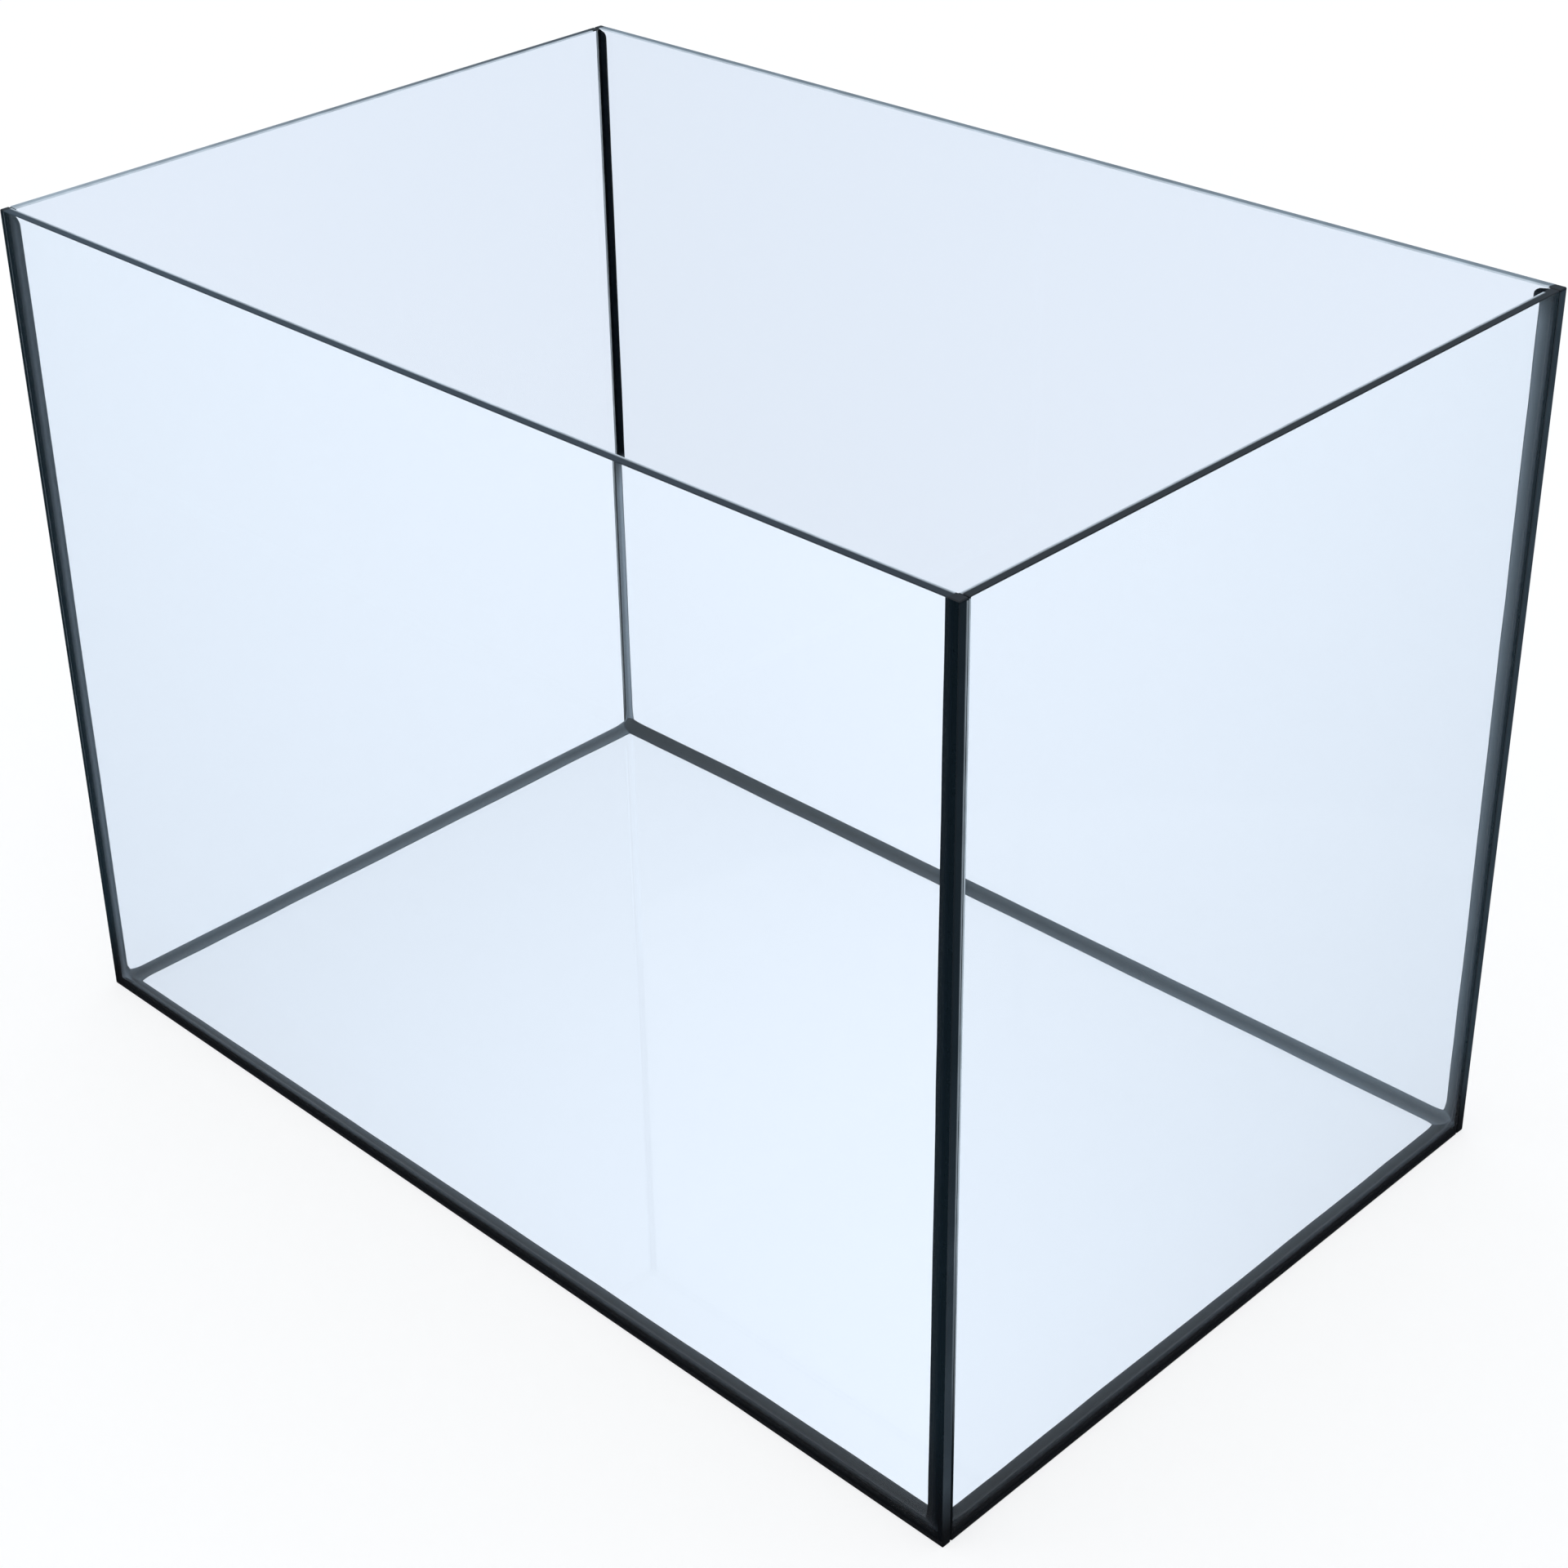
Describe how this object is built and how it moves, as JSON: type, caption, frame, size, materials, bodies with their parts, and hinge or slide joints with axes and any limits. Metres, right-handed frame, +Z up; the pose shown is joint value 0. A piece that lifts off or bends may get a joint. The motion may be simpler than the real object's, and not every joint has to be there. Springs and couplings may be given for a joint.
{
  "type": "aquarium",
  "caption": "Open-top rimless glass fish tank: clear float-glass panes bonded edge to face with black silicone and sealed inside with tooled silicone beads.",
  "frame": {"origin": "centre of the footprint, on the surface that the tank stands on", "axes": "+X along the tank's length, towards the right end pane; +Y from the front pane to the back pane; +Z up, out of the open top"},
  "size_m": [0.6, 0.39, 0.445],
  "materials": {
    "float_glass": "clear float glass, polished, with ground edges",
    "bond_silicone": "cured black silicone, wiped flush",
    "bead_silicone": "cured black silicone, tooled, satin"
  },
  "bodies": {
    "root": {"base_pane": "float_glass", "front_pane": "float_glass", "back_pane": "float_glass", "left_pane": "float_glass", "right_pane": "float_glass", "front_left_bond": "bond_silicone", "front_right_bond": "bond_silicone", "back_right_bond": "bond_silicone", "back_left_bond": "bond_silicone", "base_front_bond": "bond_silicone", "base_right_bond": "bond_silicone", "base_back_bond": "bond_silicone", "base_left_bond": "bond_silicone", "front_left_bead": "bead_silicone", "front_right_bead": "bead_silicone", "back_right_bead": "bead_silicone", "back_left_bead": "bead_silicone", "base_front_bead": "bead_silicone", "base_right_bead": "bead_silicone", "base_back_bead": "bead_silicone", "base_left_bead": "bead_silicone"}
  },
  "joints": []
}
